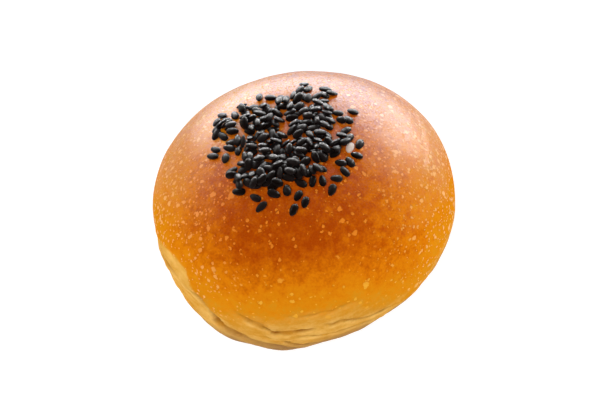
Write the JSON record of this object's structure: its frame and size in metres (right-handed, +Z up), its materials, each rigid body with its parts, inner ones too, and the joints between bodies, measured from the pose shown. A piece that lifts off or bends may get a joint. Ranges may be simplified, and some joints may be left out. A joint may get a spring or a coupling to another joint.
{
  "type": "anpan",
  "caption": "Round soft bread bun with a smooth domed, browned crust, black sesame seeds on its crown and a pale folded side over a flat base.",
  "frame": {"origin": "middle of the bounding box's bottom face, on the surface that the bun rests on", "axes": "+Z up through the crown, +X along the bun's widest way, -Y towards its front, where the pale folds reach highest on the left"},
  "size_m": [0.0846, 0.08, 0.0465],
  "materials": {
    "crust": "satin, egg-washed and browned bread crust, pale and matt on the folded side",
    "black_sesame": "black sesame hull with a soft shine",
    "pale_sesame": "pale sesame hull with a soft shine"
  },
  "bodies": {
    "root": {"bun": "crust"}
  },
  "joints": []
}
